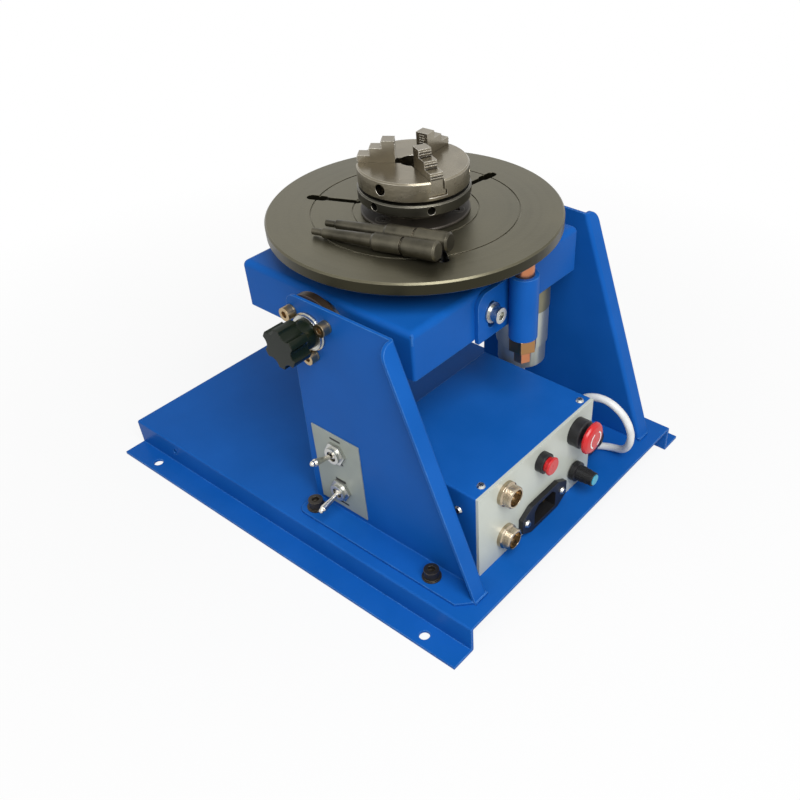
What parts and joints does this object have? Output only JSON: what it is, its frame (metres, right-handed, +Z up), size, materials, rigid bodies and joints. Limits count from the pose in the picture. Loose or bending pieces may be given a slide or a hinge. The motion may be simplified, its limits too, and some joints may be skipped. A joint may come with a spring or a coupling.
{
  "type": "welding positioner",
  "caption": "Bench welding positioner: tilting geared turntable with a small scroll chuck between two sheet-steel uprights, with a control box, pedal sockets and a copper earth brush.",
  "frame": {"origin": "centre of the four base bolt holes, at floor level", "axes": "+X towards the control panel, +Z up, +Y completes a right-handed frame; the clamp knob and the switches are on the -Y side"},
  "size_m": [0.3253, 0.273, 0.2442],
  "materials": {
    "blue_paint": "gloss",
    "grey_panel": "satin",
    "bright_steel": "satin",
    "polished_steel": "polished",
    "black_steel": "satin",
    "brown_steel": "satin",
    "zinc": "satin",
    "black_plastic": "matte",
    "red_plastic": "gloss",
    "white_rubber": "satin",
    "copper": "satin",
    "brass": "satin",
    "circuit_green": "satin"
  },
  "bodies": {
    "base": {"base_plate": "blue_paint", "left_upright": "blue_paint", "right_upright": "blue_paint", "foot_screws": "black_steel", "pivot_rings": "brown_steel", "pivot_ring_screws": "zinc", "switch_plate": "black_plastic", "toggle_switches": "zinc", "control_chassis": "grey_panel", "control_cover": "blue_paint", "box_screws": "zinc", "pedal_sockets": "bright_steel", "button_bezel": "black_plastic", "estop_collar": "black_plastic", "speed_pot": "zinc", "power_inlet": "black_plastic", "inlet_pins": "brass", "power_supply": "zinc", "control_board": "circuit_green", "cable_gland": "black_plastic", "motor_cable": "white_rubber"},
    "upper_toggle": {"upper_toggle_lever": "polished_steel"},
    "lower_toggle": {"lower_toggle_lever": "polished_steel"},
    "button": {"button_cap": "red_plastic"},
    "estop_plunger": {"estop_stem": "black_plastic"},
    "estop_mushroom": {"estop_head": "red_plastic"},
    "speed_dial": {"speed_knob": "black_plastic"},
    "carriage": {"tilt_tray": "blue_paint", "pivot_stubs": "bright_steel", "clamp_washers": "zinc", "right_pivot_bolt": "zinc", "bearing_housing": "bright_steel", "spindle_bearings": "polished_steel", "housing_screws": "zinc", "motor_bracket": "blue_paint", "motor_screws": "zinc", "gearbox": "bright_steel", "motor_can": "polished_steel", "lead_sleeve": "black_plastic", "brush_holder": "blue_paint", "brush_bolt": "zinc", "brush_lock_nut": "zinc", "brush_end_plug": "brass", "brush_spring": "bright_steel"},
    "clamp": {"clamp_knob": "black_plastic"},
    "brush": {"copper_brush": "copper"},
    "pinion": {"motor_pinion": "bright_steel"},
    "table": {"turntable": "bright_steel", "spindle": "bright_steel", "spindle_gear": "bright_steel", "spindle_nut": "zinc", "chuck_backplate": "black_steel", "backplate_screws": "black_steel", "chuck_body": "polished_steel"},
    "scroll": {"scroll_ring": "bright_steel"},
    "jaw_1": {"chuck_jaw_1": "bright_steel"},
    "jaw_2": {"chuck_jaw_2": "bright_steel"},
    "jaw_3": {"chuck_jaw_3": "bright_steel"},
    "bar_1": {"tommy_bar_1": "polished_steel"},
    "bar_2": {"tommy_bar_2": "polished_steel"}
  },
  "joints": [
    {"name": "tray_tilt", "type": "hinge", "parent": "base", "child": "carriage", "pos_m": [0.028, 0, 0.1636], "axis": [0, -1, 0], "range_deg": [0, 90]},
    {"name": "table_spin", "type": "hinge", "parent": "carriage", "child": "table", "pos_m": [0.028, 0, 0.19], "axis": [0, 0, 1], "continuous": true},
    {"name": "pinion_spin", "type": "hinge", "parent": "carriage", "child": "pinion", "pos_m": [0.06742, 0.05845, 0.15], "axis": [0, 0, 1], "continuous": true},
    {"name": "scroll_turn", "type": "hinge", "parent": "table", "child": "scroll", "pos_m": [0.028, 0, 0.215], "axis": [0, 0, 1], "range_deg": [-720, 720]},
    {"name": "clamp_turn", "type": "hinge", "parent": "carriage", "child": "clamp", "pos_m": [0.028, -0.1, 0.1636], "axis": [0, -1, 0], "range_deg": [0, 360]},
    {"name": "upper_toggle_flip", "type": "hinge", "parent": "base", "child": "upper_toggle", "pos_m": [0.0344, -0.0973, 0.0756], "axis": [1, 0, 0], "range_deg": [0, 30]},
    {"name": "lower_toggle_flip", "type": "hinge", "parent": "base", "child": "lower_toggle", "pos_m": [0.0344, -0.0973, 0.044], "axis": [1, 0, 0], "range_deg": [-30, 0]},
    {"name": "button_press", "type": "slide", "parent": "base", "child": "button", "axis": [-1, 0, 0], "range_m": [0, 0.0025], "stiffness_N_per_m": 300, "springref_m": -0.002},
    {"name": "estop_press", "type": "slide", "parent": "base", "child": "estop_plunger", "axis": [-1, 0, 0], "range_m": [0, 0.003], "stiffness_N_per_m": 500, "springref_m": -0.003},
    {"name": "estop_twist", "type": "hinge", "parent": "estop_plunger", "child": "estop_mushroom", "pos_m": [0.15, 0.019, 0.073], "axis": [1, 0, 0], "range_deg": [0, 40], "stiffness_Nm_per_rad": 0.02, "springref_deg": -11.46},
    {"name": "speed_turn", "type": "hinge", "parent": "base", "child": "speed_dial", "pos_m": [0.15, 0.0195, 0.0385], "axis": [1, 0, 0], "range_deg": [-140, 140]},
    {"name": "brush_slide", "type": "slide", "parent": "carriage", "child": "brush", "axis": [0, 0, 1], "range_m": [-0.006, 0], "stiffness_N_per_m": 500, "springref_m": 0.004, "deforming": ["brush_spring"]},
    {"name": "jaw_1_slide", "type": "slide", "parent": "table", "child": "jaw_1", "axis": [0.9171, -0.3987, 0], "range_m": [-0.007, 0.007]},
    {"name": "jaw_2_slide", "type": "slide", "parent": "table", "child": "jaw_2", "axis": [-0.1132, 0.9936, 0], "range_m": [-0.007, 0.007]},
    {"name": "jaw_3_slide", "type": "slide", "parent": "table", "child": "jaw_3", "axis": [-0.8039, -0.5948, 0], "range_m": [-0.007, 0.007]},
    {"name": "bar_1_lift", "type": "slide", "parent": "table", "child": "bar_1", "axis": [0, 0, 1], "range_m": [0, 0.03]},
    {"name": "bar_2_lift", "type": "slide", "parent": "table", "child": "bar_2", "axis": [0, 0, 1], "range_m": [0, 0.03]}
  ],
  "couplings": [
    {"joint": "pinion_spin", "follows": "table_spin", "ratio": -4.2222},
    {"joint": "jaw_1_slide", "follows": "scroll_turn", "m_per_rad": 0.000557},
    {"joint": "jaw_2_slide", "follows": "scroll_turn", "m_per_rad": 0.000557},
    {"joint": "jaw_3_slide", "follows": "scroll_turn", "m_per_rad": 0.000557}
  ]
}
